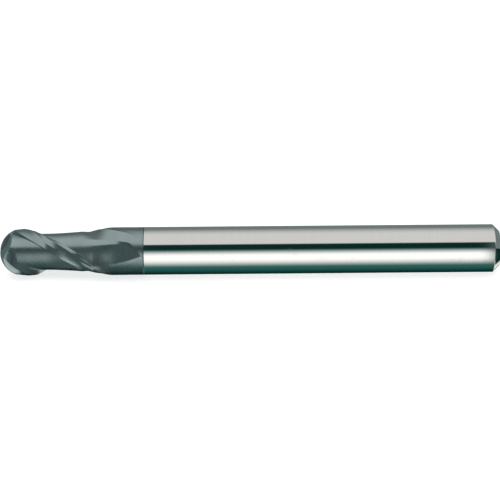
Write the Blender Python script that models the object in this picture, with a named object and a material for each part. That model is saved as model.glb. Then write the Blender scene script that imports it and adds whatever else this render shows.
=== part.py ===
"""Two-flute ball-nose end mill: a coated carbide head brazed into a ground cylindrical shank.

The tool's axis lies along X with the ball towards -X, and the origin is the centre of the
shank's rear face. Lengths along the tool are measured from the tip of the ball, in millimetres.
"""
import math

import bmesh
import bpy

MM = 0.001

# Driving dimensions, in millimetres.
TOOL_LENGTH = 125.0
SHANK_RADIUS = 6.0
BALL_RADIUS = 6.0
NECK_START = 12.35
SEAM = 36.2
REAR_CHAMFER = 1.6

# The spigot of the head, and the braze round it.
BRAZE_THICKNESS = 0.16
JOINT_GAP = 0.03
SPIGOT_RADIUS = 3.2
SPIGOT_LENGTH = 7.0
SOCKET_DEPTH = 7.6
SOCKET_CHAMFER = 0.4
ROUND_SIDES = 40
SHARP_DEGREES = 25.0

# Angles are degrees round the axis. TOOL_TURN is the turn of the whole tool about its axis.
TOOL_TURN = 25.0
HELIX_RATE = 7.55
HEEL_START = 98.5
HEEL_STEP = 3.0
TIP_HEEL = 80.0
BALL_LAND_WIDTH = 70.0
NECK_LAND_WIDTH = 36.2

# Curves along the tool, as (distance from the tip, value) pairs. Values are mm or degrees.
LAND_WIDTH = [(0.0, BALL_LAND_WIDTH), (BALL_RADIUS, BALL_LAND_WIDTH), (NECK_START, NECK_LAND_WIDTH)]
FRONT_TOOTH_RADIUS = [(6.0, 6.0), (8.8, 5.2), (9.8, 4.9), (19.9, 5.2), (22.8, 5.36), (25.6, 5.88),
                      (27.6, 6.0)]
REAR_TOOTH_RADIUS = [(6.0, 6.0), (7.8, 5.95), (12.4, 5.2), (19.9, 5.2), (22.8, 5.36), (25.6, 5.88),
                     (27.6, 6.0)]
HEEL_RADIUS = [(4.0, 5.6), (9.8, 4.65), (12.4, 4.62), (16.5, 4.85), (19.5, 5.1), (22.0, 5.2), (28.0, 6.0)]
CORE_RADIUS = [(3.0, 4.58), (12.1, 4.55), (19.9, 4.92), (27.4, 5.4), (32.8, 5.5), (35.6, 6.0)]
RELIEF_WIDTH = [(14.9, 19.0), (17.8, 7.0), (22.0, 9.0)]
WALL_WIDTH = [(0.0, 42.0), (2.4, 28.0), (5.0, 15.0), (8.0, 10.0), (20.0, 10.0), (24.0, 1.5)]
FOOT_DEPTH = [(0.0, 0.6), (1.5, 0.80), (5.5, 0.78), (9.0, 1.0)]

# How far the relief crease lies below the tooth's radius, and the most of the land it may take.
BALL_BACK_OFF = 0.02
NECK_BACK_OFF = 0.15
RELIEF_SHARE = 0.6

# Least angle of a facet, so that the corners of a section keep their order.
LEAST_FACET = 0.4

# Where the facets of the flute lie, as shares of its floor from the wall's foot to the next heel.
WALL_FOOT_SHARE = 0.323
WALL_TOP_SHARE = 0.470
WEDGE_TOP_SHARE = 0.474

# The run-outs of the two grinding passes of a flute, at fixed angles on the full diameter.
LOW_EDGE = [(23.6, -43.0), (28.7, -33.8), (32.0, -26.4), (35.6, -14.7)]
WALL_FOOT = [(22.4, 15.0), (30.5, 18.4), (32.8, 9.0), (33.7, 0.5), (35.6, -14.4)]
WALL_TOP = [(22.4, 35.5), (31.7, 23.2), (32.8, 19.4), (34.0, 8.0), (35.6, -14.1)]
WEDGE_TOP = [(22.4, 36.0), (31.7, 23.7), (32.8, 19.9), (35.6, 28.7)]
HIGH_EDGE = [(24.0, 97.3), (26.0, 76.0), (28.0, 63.5), (31.7, 50.3), (35.6, 29.0)]
WALL_TOP_RADIUS = [(22.9, 5.11), (30.7, 5.62), (32.8, 6.0)]
HELIX_END = 23.6
RUNOUT_END = 35.6

# Spans over which one shape turns into the next, from the tip.
ROUND_TO_FLAT_LAND = (6.5, 11.0)
ROUND_RAKE = (8.0, 12.0)
RELIEF_FADE = (19.0, 24.0)
STEP_FADE = (19.0, 22.0)
HELIX_TO_FIXED = (20.0, 22.4)
ROUND_TO_FLAT_FLOOR = (21.0, 31.0)
ROUND_TO_FLAT_BACK = (20.0, 25.5)
FLOOR_TO_WALL = (21.0, 25.0)
FOOT_LIFT = (21.0, 27.0)
FLAT_TO_ROUND_LAND = (22.0, 27.0)

# The gash is a plane that cuts the core away towards the tip.
GASH_ANGLE = 38.0
GASH_WEB = 0.15
GASH_SLOPE = 1.30

# Mesh steps of half a ring: land, relief, rake wall, floor, facet, wedge, floor, heel step.
RING_STEPS = (2, 2, 2, 6, 1, 2, 5, 1)
BALL_STATIONS = 13
NECK_STEP = 0.75
RUNOUT_STEP = 0.65


def along(curve, distance):
    """Read a smooth curve through (distance, value) pairs without overshoot."""
    if distance <= curve[0][0]:
        return curve[0][1]
    if distance >= curve[-1][0]:
        return curve[-1][1]
    slopes = [(b[1] - a[1]) / (b[0] - a[0]) for a, b in zip(curve, curve[1:])]
    tangents = [slopes[0]]
    for left, right in zip(slopes, slopes[1:]):
        same_way = left * right > 0.0
        tangents.append(2.0 * left * right / (left + right) if same_way else 0.0)
    tangents.append(slopes[-1])
    index = max(i for i in range(len(slopes)) if curve[i][0] <= distance)
    start, end = curve[index], curve[index + 1]
    span = end[0] - start[0]
    t = (distance - start[0]) / span
    return ((2 * t ** 3 - 3 * t ** 2 + 1) * start[1] + (t ** 3 - 2 * t ** 2 + t) * span * tangents[index]
            + (3 * t ** 2 - 2 * t ** 3) * end[1] + (t ** 3 - t ** 2) * span * tangents[index + 1])


def ease(distance, start, end):
    """Go smoothly from 0 at start to 1 at end."""
    t = min(1.0, max(0.0, (distance - start) / (end - start)))
    return t * t * (3.0 - 2.0 * t)


def mix(low, high, amount):
    return low + (high - low) * amount


def ball_radius(distance):
    """Radius of the ball's sphere at a distance from the tip."""
    return math.sqrt(max(0.0, BALL_RADIUS ** 2 - (BALL_RADIUS - distance) ** 2))


def heel_angle(distance):
    """Heel of the front tooth: a helix that joins the run-out's high edge half a turn away."""
    if distance < HIGH_EDGE[0][0]:
        return min(HEEL_START - HELIX_RATE * distance, TIP_HEEL)
    return along(HIGH_EDGE, distance) - 180.0


def edge_angle(distance):
    """Cutting edge of the front tooth, which becomes the low edge of the flute's run-out."""
    if distance < HELIX_END:
        return HEEL_START - HELIX_RATE * distance + along(LAND_WIDTH, distance)
    return along(LOW_EDGE, distance)


def section_keys(distance, tooth_radius):
    """Corners of half a cross-section, as (angle, radius, roundness of the stretch after it)."""
    ball = ball_radius(min(distance, BALL_RADIUS))
    on_ball = distance < BALL_RADIUS
    tip_radius = ball if on_ball else along(tooth_radius, distance)
    core = min(along(CORE_RADIUS, distance), ball)
    foot_core = min(along(CORE_RADIUS, distance), ball * along(FOOT_DEPTH, distance))
    heel = heel_angle(distance)
    edge = edge_angle(distance)
    heel_radius = min(along(HEEL_RADIUS, distance), ball)
    crease = edge - min(along(RELIEF_WIDTH, distance), RELIEF_SHARE * (edge - heel))
    back_off = BALL_BACK_OFF * ease(distance, 0.0, BALL_RADIUS)
    back_off += NECK_BACK_OFF * ease(distance, BALL_RADIUS + 1.0, NECK_START)
    crease_radius = tip_radius - back_off * (1.0 - ease(distance, *RELIEF_FADE))
    foot = edge + along(WALL_WIDTH, distance)
    next_heel = heel + 180.0
    floor = next_heel - foot
    fixed = ease(distance, *HELIX_TO_FIXED)
    wall_foot = mix(foot + WALL_FOOT_SHARE * floor, along(WALL_FOOT, distance), fixed)
    wall_top = mix(foot + WALL_TOP_SHARE * floor, along(WALL_TOP, distance), fixed)
    wedge_top = mix(foot + WEDGE_TOP_SHARE * floor, along(WEDGE_TOP, distance), fixed)
    wall_foot = max(wall_foot, foot + LEAST_FACET)
    wall_top = max(wall_top, wall_foot + LEAST_FACET)
    wedge_top = max(wedge_top, wall_top + LEAST_FACET)
    top_radius = mix(core, along(WALL_TOP_RADIUS, distance), ease(distance, *FLOOR_TO_WALL))
    foot_radius = mix(foot_core, tip_radius, ease(distance, *FOOT_LIFT))
    land_round = max(1.0 - ease(distance, *ROUND_TO_FLAT_LAND), ease(distance, *FLAT_TO_ROUND_LAND))
    floor_round = 1.0 - ease(distance, *ROUND_TO_FLAT_FLOOR)
    back_round = 1.0 - ease(distance, *ROUND_TO_FLAT_BACK)
    step_fade = ease(distance, *STEP_FADE)
    step = max(HEEL_STEP * (1.0 - step_fade), LEAST_FACET)
    step_radius = mix(core, heel_radius, step_fade)
    return [(heel, heel_radius, land_round),
            (crease, crease_radius, land_round),
            (edge, tip_radius, floor_round * ease(distance, *ROUND_RAKE)),
            (foot, foot_radius, floor_round),
            (wall_foot, core, floor_round),
            (wall_top, top_radius, 1.0),
            (wedge_top, top_radius, back_round),
            (next_heel - step, step_radius, 0.0),
            (next_heel, heel_radius, 0.0)]


def half_section(distance, tooth_radius):
    """Points of half a ring, as (across, up) pairs, without its last corner."""
    keys = section_keys(distance, tooth_radius)
    points = []
    for (start, start_radius, roundness), (end, end_radius, _), count in zip(keys, keys[1:], RING_STEPS):
        a = math.radians(start)
        b = math.radians(end)
        for step in range(count):
            t = step / count
            arc_x = mix(start_radius, end_radius, t) * math.cos(mix(a, b, t))
            arc_y = mix(start_radius, end_radius, t) * math.sin(mix(a, b, t))
            chord_x = mix(start_radius * math.cos(a), end_radius * math.cos(b), t)
            chord_y = mix(start_radius * math.sin(a), end_radius * math.sin(b), t)
            points.append((mix(chord_x, arc_x, roundness), mix(chord_y, arc_y, roundness)))
    return points


def gash_cut(point, distance, facing):
    """Move a point of a ring in to the gash plane where it stands proud of it."""
    reach = GASH_WEB + GASH_SLOPE * distance
    proud = point[0] * math.cos(facing) + point[1] * math.sin(facing)
    if proud <= reach:
        return point
    return (point[0] * reach / proud, point[1] * reach / proud)


def head_ring(distance):
    """All points of one ring of the head, as (across, up) pairs seen along the axis."""
    ring = []
    for turn, tooth in ((0.0, FRONT_TOOTH_RADIUS), (math.pi, REAR_TOOTH_RADIUS)):
        flute = math.radians(GASH_ANGLE) + turn + math.pi
        for x, y in half_section(distance, tooth):
            turned = (x * math.cos(turn) - y * math.sin(turn), x * math.sin(turn) + y * math.cos(turn))
            ring.append(gash_cut(turned, distance, flute))
    return ring


def head_stations():
    """Distances of the rings from the tip: close together on the ball, regular behind it."""
    stations = [BALL_RADIUS * (1.0 - math.cos(0.5 * math.pi * i / BALL_STATIONS))
                for i in range(1, BALL_STATIONS + 1)]
    while stations[-1] < HIGH_EDGE[0][0]:
        stations.append(stations[-1] + NECK_STEP)
    while stations[-1] < RUNOUT_END:
        stations.append(stations[-1] + RUNOUT_STEP)
    stations[-1] = RUNOUT_END
    return stations


def place(distance, across, up):
    """World position of a point: across is towards the front of the tool, up is round from it."""
    turn = math.radians(TOOL_TURN)
    side = across * math.cos(turn) - up * math.sin(turn)
    height = across * math.sin(turn) + up * math.cos(turn)
    return ((distance - TOOL_LENGTH) * MM, -side * MM, height * MM)


def circle(radius, count=ROUND_SIDES):
    start = -math.radians(TOOL_TURN)
    angles = [start + 2 * math.pi * i / count for i in range(count)]
    return [(radius * math.cos(angle), radius * math.sin(angle)) for angle in angles]


def add_ring(mesh, distance, points):
    return [mesh.verts.new(place(distance, across, up)) for across, up in points]


def bridge(mesh, first, second):
    """Join two rings of the same length with quads."""
    for i, vertex in enumerate(first):
        j = (i + 1) % len(first)
        mesh.faces.new((vertex, first[j], second[j], second[i]))


def join_rings(mesh, rings):
    for first, second in zip(rings, rings[1:]):
        bridge(mesh, first, second)


def make_object(name, mesh, material):
    """Turn a bmesh into an object with outward faces, smooth shading and one material."""
    bmesh.ops.triangulate(mesh, faces=mesh.faces[:])
    bmesh.ops.recalc_face_normals(mesh, faces=mesh.faces[:])
    data = bpy.data.meshes.new(name)
    mesh.to_mesh(data)
    mesh.free()
    data.shade_smooth()
    data.set_sharp_from_angle(angle=math.radians(SHARP_DEGREES))
    data.materials.append(material)
    thing = bpy.data.objects.new(name, data)
    bpy.context.scene.collection.objects.link(thing)
    return thing


def make_material(name, colour, metallic, roughness):
    material = bpy.data.materials.new(name)
    material.use_nodes = True
    shader = material.node_tree.nodes["Principled BSDF"]
    shader.inputs["Base Color"].default_value = (*colour, 1.0)
    shader.inputs["Metallic"].default_value = metallic
    shader.inputs["Roughness"].default_value = roughness
    return material


def turned_body(name, profile, material, closed=False):
    """Body of revolution from (distance, radius) pairs; an open profile is capped at both ends."""
    mesh = bmesh.new()
    rings = [add_ring(mesh, distance, circle(radius)) for distance, radius in profile]
    join_rings(mesh, rings)
    if closed:
        bridge(mesh, rings[-1], rings[0])
    else:
        mesh.faces.new(rings[0])
        mesh.faces.new(rings[-1])
    return make_object(name, mesh, material)


def make_cutting_head(material):
    """Ball, teeth, neck, shoulder and run-outs as one loft, and the spigot behind them."""
    mesh = bmesh.new()
    tip = mesh.verts.new(place(0.0, 0.0, 0.0))
    rings = [add_ring(mesh, distance, head_ring(distance)) for distance in head_stations()]
    for i, vertex in enumerate(rings[0]):
        mesh.faces.new((tip, vertex, rings[0][(i + 1) % len(rings[0])]))
    join_rings(mesh, rings)
    rear = SEAM - 0.5 * BRAZE_THICKNESS - JOINT_GAP
    last = head_ring(RUNOUT_END)
    angles = [math.atan2(y, x) for x, y in last]
    for distance, radius in ((rear, SHANK_RADIUS), (rear, SPIGOT_RADIUS),
                             (SEAM + SPIGOT_LENGTH, SPIGOT_RADIUS)):
        points = [(radius * math.cos(angle), radius * math.sin(angle)) for angle in angles]
        rings.append(add_ring(mesh, distance, points))
        bridge(mesh, rings[-2], rings[-1])
    mesh.faces.new(rings[-1])
    return make_object("cutting_head", mesh, material)


def make_braze_joint(material):
    """Thin collar round the spigot with a flange that fills the seam out to the outside."""
    front = SEAM - 0.5 * BRAZE_THICKNESS
    back = SEAM + 0.5 * BRAZE_THICKNESS
    inner = SPIGOT_RADIUS + JOINT_GAP
    outer = inner + BRAZE_THICKNESS
    profile = [(front, SHANK_RADIUS), (back, SHANK_RADIUS), (back, outer + SOCKET_CHAMFER),
               (back + SOCKET_CHAMFER, outer), (SEAM + SPIGOT_LENGTH, outer),
               (SEAM + SPIGOT_LENGTH, inner), (front, inner)]
    return turned_body("braze_joint", profile, material, closed=True)


def make_shank(material):
    """Ground cylinder with a blind socket in front and a chamfer behind."""
    front = SEAM + 0.5 * BRAZE_THICKNESS + JOINT_GAP
    socket = SPIGOT_RADIUS + BRAZE_THICKNESS + 2.0 * JOINT_GAP
    profile = [(SEAM + SOCKET_DEPTH, socket), (front + SOCKET_CHAMFER, socket),
               (front, socket + SOCKET_CHAMFER), (front, SHANK_RADIUS),
               (TOOL_LENGTH - REAR_CHAMFER, SHANK_RADIUS),
               (TOOL_LENGTH, SHANK_RADIUS - REAR_CHAMFER)]
    return turned_body("shank", profile, material)


def main():
    for thing in list(bpy.data.objects):
        bpy.data.objects.remove(thing)
    coated = make_material("coated_carbide", (0.09, 0.13, 0.135), 0.75, 0.38)
    braze = make_material("braze_alloy", (0.10, 0.11, 0.10), 0.9, 0.35)
    steel = make_material("ground_steel", (0.74, 0.73, 0.70), 1.0, 0.12)
    make_cutting_head(coated)
    make_braze_joint(braze)
    make_shank(steel)


main()
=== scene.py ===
"""Looks of the two-flute ball-nose end mill: fine meshes, materials, light and camera.

Lengths along the tool are measured from the tip of the ball, in millimetres, as in the CAD.
"""
import math

import bmesh
import bpy
from mathutils import Euler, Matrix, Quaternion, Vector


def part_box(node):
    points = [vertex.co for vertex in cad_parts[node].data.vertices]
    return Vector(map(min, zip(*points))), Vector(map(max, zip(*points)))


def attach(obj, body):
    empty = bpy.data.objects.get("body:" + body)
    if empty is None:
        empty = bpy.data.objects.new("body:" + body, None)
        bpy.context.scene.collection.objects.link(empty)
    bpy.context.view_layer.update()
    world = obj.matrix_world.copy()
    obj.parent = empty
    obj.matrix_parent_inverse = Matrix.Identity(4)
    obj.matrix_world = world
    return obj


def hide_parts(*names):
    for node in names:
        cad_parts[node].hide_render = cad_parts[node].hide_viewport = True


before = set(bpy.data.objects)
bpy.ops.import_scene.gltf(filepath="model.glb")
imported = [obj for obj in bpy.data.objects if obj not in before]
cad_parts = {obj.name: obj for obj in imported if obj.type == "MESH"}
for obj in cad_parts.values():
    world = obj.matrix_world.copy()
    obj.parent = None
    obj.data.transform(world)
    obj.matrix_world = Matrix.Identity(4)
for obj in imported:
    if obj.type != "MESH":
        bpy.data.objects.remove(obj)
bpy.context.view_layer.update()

MM = 0.001

# Sizes read from the frame, in millimetres.
HEAD_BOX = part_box("cutting_head")
SHANK_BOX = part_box("shank")
BRAZE_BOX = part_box("braze_joint")
TIP_X = HEAD_BOX[0][0] / MM
TOOL_LENGTH = SHANK_BOX[1][0] / MM - TIP_X
SEAM_FRONT = BRAZE_BOX[0][0] / MM - TIP_X
SEAM_BACK = SHANK_BOX[0][0] / MM - TIP_X
SHANK_RADIUS = SHANK_BOX[1][2] / MM
BALL_RADIUS = SHANK_RADIUS
NECK_START = 12.35
REAR_CHAMFER = 1.6

# Angles are degrees round the axis. TOOL_TURN is the turn of the whole tool about its axis.
TOOL_TURN = 25.0
HELIX_RATE = 7.55
HEEL_START = 98.5
HEEL_STEP = 3.0
TIP_HEEL = 80.0
BALL_LAND_WIDTH = 70.0
NECK_LAND_WIDTH = 36.2

# Curves along the tool, as (distance from the tip, value) pairs. Values are mm or degrees.
LAND_WIDTH = [(0.0, BALL_LAND_WIDTH), (BALL_RADIUS, BALL_LAND_WIDTH), (NECK_START, NECK_LAND_WIDTH)]
FRONT_TOOTH_RADIUS = [(6.0, 6.0), (8.8, 5.2), (9.8, 4.9), (19.9, 5.2), (22.8, 5.36), (25.6, 5.88),
                      (27.6, 6.0)]
REAR_TOOTH_RADIUS = [(6.0, 6.0), (7.8, 5.95), (12.4, 5.2), (19.9, 5.2), (22.8, 5.36), (25.6, 5.88),
                     (27.6, 6.0)]
HEEL_RADIUS = [(4.0, 5.6), (9.8, 4.65), (12.4, 4.62), (16.5, 4.85), (19.5, 5.1), (22.0, 5.2), (28.0, 6.0)]
CORE_RADIUS = [(3.0, 4.58), (12.1, 4.55), (19.9, 4.92), (27.4, 5.4), (32.8, 5.5), (35.6, 6.0)]
RELIEF_WIDTH = [(14.9, 19.0), (17.8, 7.0), (22.0, 9.0)]
WALL_WIDTH = [(0.0, 42.0), (2.4, 28.0), (5.0, 15.0), (8.0, 10.0), (20.0, 10.0), (24.0, 1.5)]
FOOT_DEPTH = [(0.0, 0.6), (1.5, 0.80), (5.5, 0.78), (9.0, 1.0)]

# How far the relief crease lies below the tooth's radius, and the most of the land it may take.
BALL_BACK_OFF = 0.02
NECK_BACK_OFF = 0.15
RELIEF_SHARE = 0.6

# Least angle of a facet, so that the corners of a section keep their order.
LEAST_FACET = 0.4

# Where the facets of the flute lie, as shares of its floor from the wall's foot to the next heel.
WALL_FOOT_SHARE = 0.323
WALL_TOP_SHARE = 0.470
WEDGE_TOP_SHARE = 0.474

# The run-outs of the two grinding passes of a flute, at fixed angles on the full diameter.
LOW_EDGE = [(23.6, -43.0), (28.7, -33.8), (32.0, -26.4), (35.6, -14.7)]
WALL_FOOT = [(22.4, 15.0), (30.5, 18.4), (32.8, 9.0), (33.7, 0.5), (35.6, -14.4)]
WALL_TOP = [(22.4, 35.5), (31.7, 23.2), (32.8, 19.4), (34.0, 8.0), (35.6, -14.1)]
WEDGE_TOP = [(22.4, 36.0), (31.7, 23.7), (32.8, 19.9), (35.6, 28.7)]
HIGH_EDGE = [(24.0, 97.3), (26.0, 76.0), (28.0, 63.5), (31.7, 50.3), (35.6, 29.0)]
WALL_TOP_RADIUS = [(22.9, 5.11), (30.7, 5.62), (32.8, 6.0)]
HELIX_END = 23.6
RUNOUT_END = 35.6

# Spans over which one shape turns into the next, from the tip.
ROUND_TO_FLAT_LAND = (6.5, 11.0)
ROUND_RAKE = (8.0, 12.0)
RELIEF_FADE = (19.0, 24.0)
STEP_FADE = (19.0, 22.0)
HELIX_TO_FIXED = (20.0, 22.4)
ROUND_TO_FLAT_FLOOR = (21.0, 31.0)
ROUND_TO_FLAT_BACK = (20.0, 25.5)
FLOOR_TO_WALL = (21.0, 25.0)
FOOT_LIFT = (21.0, 27.0)
FLAT_TO_ROUND_LAND = (22.0, 27.0)

# The gash is a plane that cuts the core away towards the tip.
GASH_ANGLE = 38.0
GASH_WEB = 0.15
GASH_SLOPE = 1.30

# Fine steps of half a ring: land, relief, rake wall, floor, facet, wedge, floor, heel step.
RING_STEPS = (10, 10, 10, 34, 8, 6, 30, 4)
BALL_STATIONS = 70
NECK_STEP = 0.11
RUNOUT_STEP = 0.10

# Where each corner of the section is a crisp ground edge, in the same order.
SHARP_SPANS = [(2.5, RUNOUT_END), (9.0, 23.0), (0.0, RUNOUT_END), (0.0, 24.0), (28.0, RUNOUT_END),
               (28.0, RUNOUT_END), (32.0, RUNOUT_END), (2.5, 21.0)]
SHARP_DEGREES = 22.0
SHANK_SHARP_DEGREES = 30.0

# Small details at the seam and at the rear, in millimetres.
SEAM_LIP = 0.03
SEAM_DEPTH = 0.035
SEAM_STRAIGHT = 0.05
HIDDEN_RADIUS = 5.0
SEAM_BAND = 1.0
SHANK_BAND = 4.0
SHANK_BANDS = 20
CHAMFER_ROUND = 0.12
REAR_ROUND = 0.10
REAR_FACE_RADII = (2.0, 0.6)
SEAM_SIDES = 180
SHANK_SIDES = 240

# Floor and overhead light, in metres, watts and degrees.
FLOOR_SIZE = 6.0
FLOOR_GLOW = 0.72
LIGHT_SIZE = 1.6
LIGHT_POWER = 5.0
LIGHT_PLACE = (-0.06, -0.2, 1.2)
LIGHT_TILT = -9.5

# Camera: side on to the tool, raised above it. Metres, degrees and, for the aim, millimetres.
CAMERA_DISTANCE = 0.407
CAMERA_ELEVATION = 25.0
CAMERA_HALF_ANGLE = 8.76
CAMERA_ROLL = 0.48
CAMERA_AIM = 0.15
SENSOR = 36.0


def along(curve, distance):
    """Read a smooth curve through (distance, value) pairs without overshoot."""
    if distance <= curve[0][0]:
        return curve[0][1]
    if distance >= curve[-1][0]:
        return curve[-1][1]
    slopes = [(b[1] - a[1]) / (b[0] - a[0]) for a, b in zip(curve, curve[1:])]
    tangents = [slopes[0]]
    for left, right in zip(slopes, slopes[1:]):
        same_way = left * right > 0.0
        tangents.append(2.0 * left * right / (left + right) if same_way else 0.0)
    tangents.append(slopes[-1])
    index = max(i for i in range(len(slopes)) if curve[i][0] <= distance)
    start, end = curve[index], curve[index + 1]
    span = end[0] - start[0]
    t = (distance - start[0]) / span
    return ((2 * t ** 3 - 3 * t ** 2 + 1) * start[1] + (t ** 3 - 2 * t ** 2 + t) * span * tangents[index]
            + (3 * t ** 2 - 2 * t ** 3) * end[1] + (t ** 3 - t ** 2) * span * tangents[index + 1])


def ease(distance, start, end):
    """Go smoothly from 0 at start to 1 at end."""
    t = min(1.0, max(0.0, (distance - start) / (end - start)))
    return t * t * (3.0 - 2.0 * t)


def mix(low, high, amount):
    return low + (high - low) * amount


def ball_radius(distance):
    """Radius of the ball's sphere at a distance from the tip."""
    return math.sqrt(max(0.0, BALL_RADIUS ** 2 - (BALL_RADIUS - distance) ** 2))


def heel_angle(distance):
    """Heel of the front tooth: a helix that joins the run-out's high edge half a turn away."""
    if distance < HIGH_EDGE[0][0]:
        return min(HEEL_START - HELIX_RATE * distance, TIP_HEEL)
    return along(HIGH_EDGE, distance) - 180.0


def edge_angle(distance):
    """Cutting edge of the front tooth, which becomes the low edge of the flute's run-out."""
    if distance < HELIX_END:
        return HEEL_START - HELIX_RATE * distance + along(LAND_WIDTH, distance)
    return along(LOW_EDGE, distance)


def section_keys(distance, tooth_radius):
    """Corners of half a cross-section, as (angle, radius, roundness of the stretch after it)."""
    ball = ball_radius(min(distance, BALL_RADIUS))
    on_ball = distance < BALL_RADIUS
    tip_radius = ball if on_ball else along(tooth_radius, distance)
    core = min(along(CORE_RADIUS, distance), ball)
    foot_core = min(along(CORE_RADIUS, distance), ball * along(FOOT_DEPTH, distance))
    heel = heel_angle(distance)
    edge = edge_angle(distance)
    heel_radius = min(along(HEEL_RADIUS, distance), ball)
    crease = edge - min(along(RELIEF_WIDTH, distance), RELIEF_SHARE * (edge - heel))
    back_off = BALL_BACK_OFF * ease(distance, 0.0, BALL_RADIUS)
    back_off += NECK_BACK_OFF * ease(distance, BALL_RADIUS + 1.0, NECK_START)
    crease_radius = tip_radius - back_off * (1.0 - ease(distance, *RELIEF_FADE))
    foot = edge + along(WALL_WIDTH, distance)
    next_heel = heel + 180.0
    floor = next_heel - foot
    fixed = ease(distance, *HELIX_TO_FIXED)
    wall_foot = mix(foot + WALL_FOOT_SHARE * floor, along(WALL_FOOT, distance), fixed)
    wall_top = mix(foot + WALL_TOP_SHARE * floor, along(WALL_TOP, distance), fixed)
    wedge_top = mix(foot + WEDGE_TOP_SHARE * floor, along(WEDGE_TOP, distance), fixed)
    wall_foot = max(wall_foot, foot + LEAST_FACET)
    wall_top = max(wall_top, wall_foot + LEAST_FACET)
    wedge_top = max(wedge_top, wall_top + LEAST_FACET)
    top_radius = mix(core, along(WALL_TOP_RADIUS, distance), ease(distance, *FLOOR_TO_WALL))
    foot_radius = mix(foot_core, tip_radius, ease(distance, *FOOT_LIFT))
    land_round = max(1.0 - ease(distance, *ROUND_TO_FLAT_LAND), ease(distance, *FLAT_TO_ROUND_LAND))
    floor_round = 1.0 - ease(distance, *ROUND_TO_FLAT_FLOOR)
    back_round = 1.0 - ease(distance, *ROUND_TO_FLAT_BACK)
    step_fade = ease(distance, *STEP_FADE)
    step = max(HEEL_STEP * (1.0 - step_fade), LEAST_FACET)
    step_radius = mix(core, heel_radius, step_fade)
    return [(heel, heel_radius, land_round),
            (crease, crease_radius, land_round),
            (edge, tip_radius, floor_round * ease(distance, *ROUND_RAKE)),
            (foot, foot_radius, floor_round),
            (wall_foot, core, floor_round),
            (wall_top, top_radius, 1.0),
            (wedge_top, top_radius, back_round),
            (next_heel - step, step_radius, 0.0),
            (next_heel, heel_radius, 0.0)]


def half_section(distance, tooth_radius):
    """Points of half a ring, as (across, up) pairs, without its last corner."""
    keys = section_keys(distance, tooth_radius)
    points = []
    for (start, start_radius, roundness), (end, end_radius, _), count in zip(keys, keys[1:], RING_STEPS):
        a = math.radians(start)
        b = math.radians(end)
        for step in range(count):
            t = step / count
            arc_x = mix(start_radius, end_radius, t) * math.cos(mix(a, b, t))
            arc_y = mix(start_radius, end_radius, t) * math.sin(mix(a, b, t))
            chord_x = mix(start_radius * math.cos(a), end_radius * math.cos(b), t)
            chord_y = mix(start_radius * math.sin(a), end_radius * math.sin(b), t)
            points.append((mix(chord_x, arc_x, roundness), mix(chord_y, arc_y, roundness)))
    return points


def gash_cut(point, distance, facing):
    """Move a point of a ring in to the gash plane where it stands proud of it."""
    reach = GASH_WEB + GASH_SLOPE * distance
    proud = point[0] * math.cos(facing) + point[1] * math.sin(facing)
    if proud <= reach:
        return point
    return (point[0] * reach / proud, point[1] * reach / proud)


def head_ring(distance):
    """All points of one ring of the head, as (across, up) pairs seen along the axis."""
    ring = []
    for turn, tooth in ((0.0, FRONT_TOOTH_RADIUS), (math.pi, REAR_TOOTH_RADIUS)):
        flute = math.radians(GASH_ANGLE) + turn + math.pi
        for x, y in half_section(distance, tooth):
            turned = (x * math.cos(turn) - y * math.sin(turn), x * math.sin(turn) + y * math.cos(turn))
            ring.append(gash_cut(turned, distance, flute))
    return ring


def head_stations():
    """Distances of the rings from the tip: close together on the ball, regular behind it."""
    stations = [BALL_RADIUS * (1.0 - math.cos(0.5 * math.pi * i / BALL_STATIONS))
                for i in range(1, BALL_STATIONS + 1)]
    while stations[-1] < HIGH_EDGE[0][0]:
        stations.append(stations[-1] + NECK_STEP)
    while stations[-1] < RUNOUT_END - RUNOUT_STEP:
        stations.append(stations[-1] + RUNOUT_STEP)
    stations.append(RUNOUT_END)
    return stations


def place(distance, across, up):
    """World position of a point: across is towards the front of the tool, up is round from it."""
    turn = math.radians(TOOL_TURN)
    side = across * math.cos(turn) - up * math.sin(turn)
    height = across * math.sin(turn) + up * math.cos(turn)
    return ((distance + TIP_X) * MM, -side * MM, height * MM)


def add_ring(mesh, distance, points):
    return [mesh.verts.new(place(distance, across, up)) for across, up in points]


def bridge(mesh, first, second):
    """Join two rings of the same length with quads."""
    for i, vertex in enumerate(first):
        j = (i + 1) % len(first)
        mesh.faces.new((vertex, first[j], second[j], second[i]))


def make_piece(name, mesh, material, node, sharp_degrees=SHARP_DEGREES):
    """Turn a bmesh into a visible piece that rides on the tool and stands for a CAD node."""
    bmesh.ops.recalc_face_normals(mesh, faces=mesh.faces[:])
    for edge in mesh.edges:
        turned = edge.calc_face_angle(0.0) > math.radians(sharp_degrees)
        edge.smooth = edge.smooth and not turned
    for face in mesh.faces:
        face.smooth = True
    data = bpy.data.meshes.new(name)
    mesh.to_mesh(data)
    mesh.free()
    data.materials.append(material)
    piece = bpy.data.objects.new(name, data)
    bpy.context.scene.collection.objects.link(piece)
    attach(piece, "root")
    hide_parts(node)
    return piece


def circle(radius, count):
    start = -math.radians(TOOL_TURN)
    angles = [start + 2 * math.pi * i / count for i in range(count)]
    return [(radius * math.cos(angle), radius * math.sin(angle)) for angle in angles]


def turned_mesh(profile, count):
    """Body of revolution from (distance, radius) pairs, capped at both ends."""
    mesh = bmesh.new()
    rings = [add_ring(mesh, distance, circle(radius, count)) for distance, radius in profile]
    for first, second in zip(rings, rings[1:]):
        bridge(mesh, first, second)
    mesh.faces.new(rings[0])
    mesh.faces.new(rings[-1])
    return mesh


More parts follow.
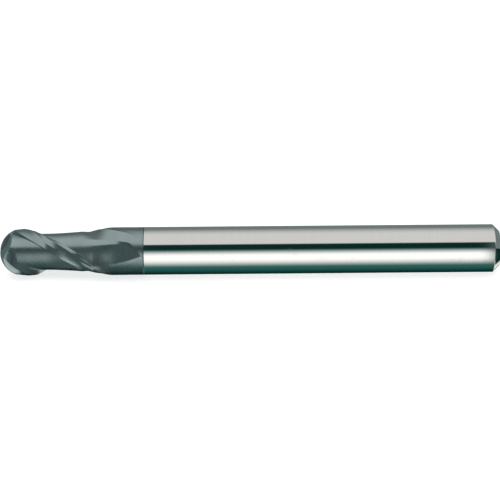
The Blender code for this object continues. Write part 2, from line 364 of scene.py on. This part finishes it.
def rounded(corner_distance, corner_radius, before, after, size, steps=6):
    """Points of a small round between two directions at a corner of a turned profile."""
    points = []
    for i in range(steps + 1):
        t = i / steps
        lead = (1.0 - t) ** 2 * size
        trail = t ** 2 * size
        points.append((corner_distance - before[0] * lead + after[0] * trail,
                       corner_radius - before[1] * lead + after[1] * trail))
    return points


def sharpen_ground_edges(mesh, rings):
    """Keep the ground edges crisp: each is one column of the loft between two distances."""
    columns = [sum(RING_STEPS[:i]) for i in range(len(RING_STEPS))]
    stations = head_stations()
    for column, (start, end) in zip(columns, SHARP_SPANS):
        for half in (0, sum(RING_STEPS)):
            for i, distance in enumerate(stations[:-1]):
                if not start <= distance <= end:
                    continue
                edge = mesh.edges.get((rings[i][half + column], rings[i + 1][half + column]))
                if edge:
                    edge.smooth = False


def make_head(material):
    """Ball, teeth, neck, shoulder and run-outs as one fine loft."""
    mesh = bmesh.new()
    tip = mesh.verts.new(place(0.0, 0.0, 0.0))
    rings = [add_ring(mesh, distance, head_ring(distance)) for distance in head_stations()]
    for i, vertex in enumerate(rings[0]):
        mesh.faces.new((tip, vertex, rings[0][(i + 1) % len(rings[0])]))
    angles = [math.atan2(y, x) for x, y in head_ring(RUNOUT_END)]
    for distance, radius in ((SEAM_FRONT - SEAM_STRAIGHT, SHANK_RADIUS),
                             (SEAM_FRONT, SHANK_RADIUS - SEAM_LIP), (SEAM_FRONT, HIDDEN_RADIUS)):
        points = [(radius * math.cos(angle), radius * math.sin(angle)) for angle in angles]
        rings.append(add_ring(mesh, distance, points))
    for first, second in zip(rings, rings[1:]):
        bridge(mesh, first, second)
    mesh.faces.new(rings[-1])
    sharpen_ground_edges(mesh, rings)
    return make_piece("coated_head", mesh, material, "cutting_head")


def make_seam(material):
    """Fine braze line, a hair below the ground surfaces on both sides."""
    radius = SHANK_RADIUS - SEAM_DEPTH
    profile = [(SEAM_FRONT, HIDDEN_RADIUS), (SEAM_FRONT, radius), (SEAM_BACK, radius),
               (SEAM_BACK, HIDDEN_RADIUS)]
    mesh = turned_mesh(profile, SEAM_SIDES)
    return make_piece("braze_line", mesh, material, "braze_joint")


def make_shank(material):
    """Ground cylinder with softly broken edges at the seam and at the rear chamfer."""
    end = TOOL_LENGTH
    diagonal = math.sqrt(0.5)
    band = SEAM_BACK + SEAM_BAND
    profile = [(SEAM_BACK, HIDDEN_RADIUS), (SEAM_BACK, SHANK_RADIUS - SEAM_LIP),
               (SEAM_BACK + SEAM_LIP, SHANK_RADIUS), (band, SHANK_RADIUS)]
    profile += [(band + i * SHANK_BAND, SHANK_RADIUS) for i in range(1, SHANK_BANDS + 1)]
    profile += rounded(end - REAR_CHAMFER, SHANK_RADIUS, (1.0, 0.0), (diagonal, -diagonal), CHAMFER_ROUND)
    profile += rounded(end, SHANK_RADIUS - REAR_CHAMFER, (diagonal, -diagonal), (0.0, -1.0), REAR_ROUND)
    profile += [(end, radius) for radius in REAR_FACE_RADII]
    mesh = turned_mesh(profile, SHANK_SIDES)
    return make_piece("ground_shank", mesh, material, "shank", SHANK_SHARP_DEGREES)


class Nodes:
    """Short way to add and link shader nodes."""

    def __init__(self, tree):
        self.tree = tree

    def add(self, kind, **settings):
        node = self.tree.nodes.new(kind)
        for key, value in settings.items():
            setattr(node, key, value)
        return node

    def link(self, output, target):
        self.tree.links.new(output, target)

    def math(self, operation, first, second=None, third=None, clamp=False):
        node = self.add("ShaderNodeMath", operation=operation, use_clamp=clamp)
        for socket, value in zip(node.inputs, (first, second, third)):
            if value is None:
                continue
            if isinstance(value, (int, float)):
                socket.default_value = value
            else:
                self.link(value, socket)
        return node.outputs[0]

    def map_range(self, value, low, high, out_low, out_high, smooth=False):
        node = self.add("ShaderNodeMapRange")
        node.interpolation_type = "SMOOTHSTEP" if smooth else "LINEAR"
        self.link(value, node.inputs["Value"])
        for name, number in (("From Min", low), ("From Max", high),
                             ("To Min", out_low), ("To Max", out_high)):
            node.inputs[name].default_value = number
        return node.outputs["Result"]

    def noise(self, vector, scale, detail=2.0, roughness=0.5):
        node = self.add("ShaderNodeTexNoise")
        node.inputs["Scale"].default_value = scale
        node.inputs["Detail"].default_value = detail
        node.inputs["Roughness"].default_value = roughness
        self.link(vector, node.inputs["Vector"])
        return node.outputs["Fac"]

    def scaled(self, vector, scale):
        node = self.add("ShaderNodeMapping")
        node.inputs["Scale"].default_value = scale
        self.link(vector, node.inputs["Vector"])
        return node.outputs["Vector"]

    def mix_colour(self, factor, first, second, blend="MIX"):
        node = self.add("ShaderNodeMix", data_type="RGBA", blend_type=blend)
        for name, value in ((0, factor), (6, first), (7, second)):
            socket = node.inputs[name]
            if isinstance(value, (int, float)):
                socket.default_value = value
            elif isinstance(value, tuple):
                socket.default_value = (*value, 1.0)
            else:
                self.link(value, socket)
        return node.outputs[2]

    def bump(self, height, strength, distance):
        node = self.add("ShaderNodeBump")
        node.inputs["Strength"].default_value = strength
        node.inputs["Distance"].default_value = distance
        self.link(height, node.inputs["Height"])
        return node.outputs["Normal"]


def start_material(name, metallic):
    material = bpy.data.materials.new(name)
    material.use_nodes = True
    nodes = Nodes(material.node_tree)
    shader = material.node_tree.nodes["Principled BSDF"]
    shader.inputs["Metallic"].default_value = metallic
    position = nodes.add("ShaderNodeTexCoord").outputs["Object"]
    return material, nodes, shader, position


def ground_steel_material():
    """Centreless-ground steel: near mirror, fine lines round the axis, a few faint scuffs."""
    material, nodes, shader, position = start_material("ground_steel_fine", 1.0)
    lines = nodes.noise(nodes.scaled(position, (5200.0, 50.0, 50.0)), 1.0, 3.0, 0.6)
    broad = nodes.noise(nodes.scaled(position, (500.0, 40.0, 40.0)), 1.0, 2.0, 0.5)
    scuff = nodes.noise(nodes.scaled(position, (260.0, 420.0, 420.0)), 1.0, 4.0, 0.65)
    marks = nodes.map_range(scuff, 0.60, 0.72, 0.0, 1.0, smooth=True)
    shade = nodes.map_range(lines, 0.3, 0.7, 0.0, 1.0)
    colour = nodes.mix_colour(shade, (0.93, 0.93, 0.92), (0.97, 0.97, 0.96))
    colour = nodes.mix_colour(nodes.math("MULTIPLY", marks, 0.14), colour, (0.62, 0.63, 0.62))
    nodes.link(colour, shader.inputs["Base Color"])
    rough = nodes.map_range(broad, 0.3, 0.7, 0.035, 0.06)
    rough = nodes.math("ADD", rough, nodes.math("MULTIPLY", marks, 0.10))
    nodes.link(rough, shader.inputs["Roughness"])
    nodes.link(nodes.bump(lines, 0.03, 0.00001), shader.inputs["Normal"])
    return material


def coated_carbide_material():
    """Dark grey-teal hard coating: blurred gloss, fine mottling and faint grinding lines."""
    material, nodes, shader, position = start_material("coated_carbide_fine", 1.0)
    mottle = nodes.noise(position, 1400.0, 4.0, 0.6)
    cloud = nodes.noise(position, 260.0, 3.0, 0.5)
    grind = nodes.noise(nodes.scaled(position, (2600.0, 7000.0, 7000.0)), 1.0, 2.0, 0.5)
    shade = nodes.map_range(cloud, 0.3, 0.7, 0.0, 1.0)
    base = nodes.mix_colour(shade, (0.40, 0.50, 0.52), (0.47, 0.58, 0.59))
    base = nodes.mix_colour(nodes.map_range(mottle, 0.35, 0.75, 0.0, 0.22), base, (0.30, 0.38, 0.40))
    nodes.link(base, shader.inputs["Base Color"])
    nodes.link(nodes.map_range(mottle, 0.3, 0.7, 0.25, 0.30), shader.inputs["Roughness"])
    height = nodes.math("ADD", nodes.math("MULTIPLY", grind, 0.5), nodes.math("MULTIPLY", mottle, 0.5))
    nodes.link(nodes.bump(height, 0.04, 0.00002), shader.inputs["Normal"])
    return material


def braze_material():
    """Darkened braze at the seam."""
    material, nodes, shader, position = start_material("braze_line_dark", 1.0)
    grain = nodes.noise(position, 3000.0, 3.0, 0.6)
    shade = nodes.map_range(grain, 0.3, 0.7, 0.0, 1.0)
    colour = nodes.mix_colour(shade, (0.10, 0.13, 0.13), (0.20, 0.24, 0.23))
    nodes.link(colour, shader.inputs["Base Color"])
    nodes.link(nodes.map_range(grain, 0.3, 0.7, 0.35, 0.5), shader.inputs["Roughness"])
    return material


def floor_material():
    material, nodes, shader, position = start_material("pale_floor", 0.0)
    paper = nodes.noise(position, 40.0, 2.0, 0.5)
    shade = nodes.map_range(paper, 0.3, 0.7, 0.0, 1.0)
    tone = nodes.mix_colour(shade, (0.80, 0.80, 0.80), (0.82, 0.82, 0.82))
    nodes.link(tone, shader.inputs["Base Color"])
    shader.inputs["Roughness"].default_value = 0.9
    shader.inputs["Emission Color"].default_value = (1.0, 1.0, 1.0, 1.0)
    shader.inputs["Emission Strength"].default_value = FLOOR_GLOW
    return material


def make_floor(material):
    """Large pale sheet under the tool. Reflections see the studio surround instead of it."""
    mesh = bmesh.new()
    bmesh.ops.create_grid(mesh, x_segments=8, y_segments=8, size=FLOOR_SIZE)
    data = bpy.data.meshes.new("floor")
    mesh.to_mesh(data)
    mesh.free()
    data.materials.append(material)
    floor = bpy.data.objects.new("floor", data)
    floor.location = (0.5 * TIP_X * MM, 0.0, -SHANK_RADIUS * MM)
    floor.visible_glossy = False
    bpy.context.scene.collection.objects.link(floor)


# The studio, as seen from the tool. A softbox spans angles round the tool's axis, in degrees up from
# the front, and sideways leans from -1 (towards the ball) to 1: begins, is full, is still full, ends.
SURROUND_COLOUR = (0.003, 0.024, 0.020)
SOFT_WHITE = (1.0, 0.99, 0.96)
COOL_GREY = (0.75, 1.0, 0.98)
TEAL = (0.20, 1.0, 0.88)
EVERYWHERE = (-2.0, -1.5, 1.5, 2.0)
WRAP_ANGLE = -145.0
SOFTBOXES = {
    "floor_bounce": ((-120, -60, 12, 32), (-0.085, -0.068, 0.16, 0.24), TEAL, 0.12),
    "left_fill": ((-120, -50, 45, 60), (-2.0, -1.5, -0.085, -0.068), COOL_GREY, 0.12),
    "right_fill": ((-120, -50, 45, 60), (0.16, 0.24, 1.5, 2.0), COOL_GREY, 0.12),
    "rear_bounce": ((140, 170, 210, 240), EVERYWHERE, COOL_GREY, 0.20),
    "overhead": ((50, 57, 100, 172), EVERYWHERE, SOFT_WHITE, 0.62),
    "front_strip": ((-66, -14, -4, 30), (-0.085, -0.068, 0.16, 0.24), SOFT_WHITE, 1.1),
    "front_left": ((-40, -25, 5, 14), (-0.60, -0.50, -0.34, -0.24), SOFT_WHITE, 0.12),
    "low_left": ((-140, -125, -85, -60), (-1.2, -1.0, -0.34, -0.22), SOFT_WHITE, 0.8),
    "low_right": ((-150, -130, -60, -35), (0.22, 0.34, 0.62, 0.75), SOFT_WHITE, 0.8),
}


def softbox_band(nodes, value, limits):
    """Go from 0 to 1 and back to 0 over four rising limits."""
    rise = nodes.map_range(value, limits[0], limits[1], 0.0, 1.0, smooth=True)
    fall = nodes.map_range(value, limits[2], limits[3], 1.0, 0.0, smooth=True)
    return nodes.math("MULTIPLY", rise, fall)


def make_world():
    """Plain studio: a dark surround with a few soft, evenly lit softboxes in it."""
    world = bpy.data.worlds.new("studio_surround")
    bpy.context.scene.world = world
    world.use_nodes = True
    nodes = Nodes(world.node_tree)
    background = world.node_tree.nodes["Background"]
    direction = nodes.add("ShaderNodeTexCoord").outputs["Generated"]
    split = nodes.add("ShaderNodeSeparateXYZ")
    nodes.link(direction, split.inputs[0])
    lean, depth, height = split.outputs
    angle = nodes.math("ARCTAN2", height, nodes.math("MULTIPLY", depth, -1.0))
    degrees = nodes.math("MULTIPLY", angle, 180.0 / math.pi)
    wrapped = nodes.math("LESS_THAN", degrees, WRAP_ANGLE)
    behind = nodes.math("ADD", degrees, nodes.math("MULTIPLY", wrapped, 360.0))
    tone = SURROUND_COLOUR
    for round_limits, side_limits, colour, brightness in SOFTBOXES.values():
        turn = behind if round_limits[3] > 180 else degrees
        upright = softbox_band(nodes, turn, round_limits)
        sideways = softbox_band(nodes, lean, side_limits)
        share = nodes.math("MULTIPLY", upright, sideways)
        tone = nodes.mix_colour(share, tone, tuple(brightness * c for c in colour))
    path = nodes.add("ShaderNodeLightPath")
    tone = nodes.mix_colour(path.outputs["Is Camera Ray"], tone, (1.0, 1.0, 1.0))
    nodes.link(tone, background.inputs["Color"])
    background.inputs["Strength"].default_value = 1.0


def make_soft_light():
    """Wide soft light overhead for the floor."""
    light = bpy.data.lights.new("overhead_softbox", "AREA")
    light.shape = "RECTANGLE"
    light.size = LIGHT_SIZE
    light.size_y = LIGHT_SIZE
    light.energy = LIGHT_POWER
    lamp = bpy.data.objects.new("overhead_softbox", light)
    lamp.location = LIGHT_PLACE
    lamp.rotation_euler = (math.radians(LIGHT_TILT), 0.0, 0.0)
    lamp.visible_glossy = False
    lamp.visible_camera = False
    bpy.context.scene.collection.objects.link(lamp)


def make_camera():
    """Side on to the middle of the tool, raised, with a small roll."""
    camera = bpy.data.cameras.new("camera")
    camera.sensor_width = SENSOR
    camera.lens = 0.5 * SENSOR / math.tan(math.radians(CAMERA_HALF_ANGLE))
    camera.clip_start = 0.01
    thing = bpy.data.objects.new("camera", camera)
    tilt = math.radians(CAMERA_ELEVATION)
    middle = (TIP_X + 0.5 * TOOL_LENGTH + CAMERA_AIM) * MM
    thing.location = (middle, -CAMERA_DISTANCE * math.cos(tilt), CAMERA_DISTANCE * math.sin(tilt))
    thing.rotation_mode = "QUATERNION"
    look = Euler((math.radians(90.0) - tilt, 0.0, 0.0)).to_quaternion()
    thing.rotation_quaternion = look @ Quaternion((0.0, 0.0, 1.0), -math.radians(CAMERA_ROLL))
    bpy.context.scene.collection.objects.link(thing)
    bpy.context.scene.camera = thing


bpy.context.scene.view_settings.view_transform = "Standard"
make_camera()
make_head(coated_carbide_material())
make_seam(braze_material())
make_shank(ground_steel_material())
make_floor(floor_material())
make_world()
make_soft_light()
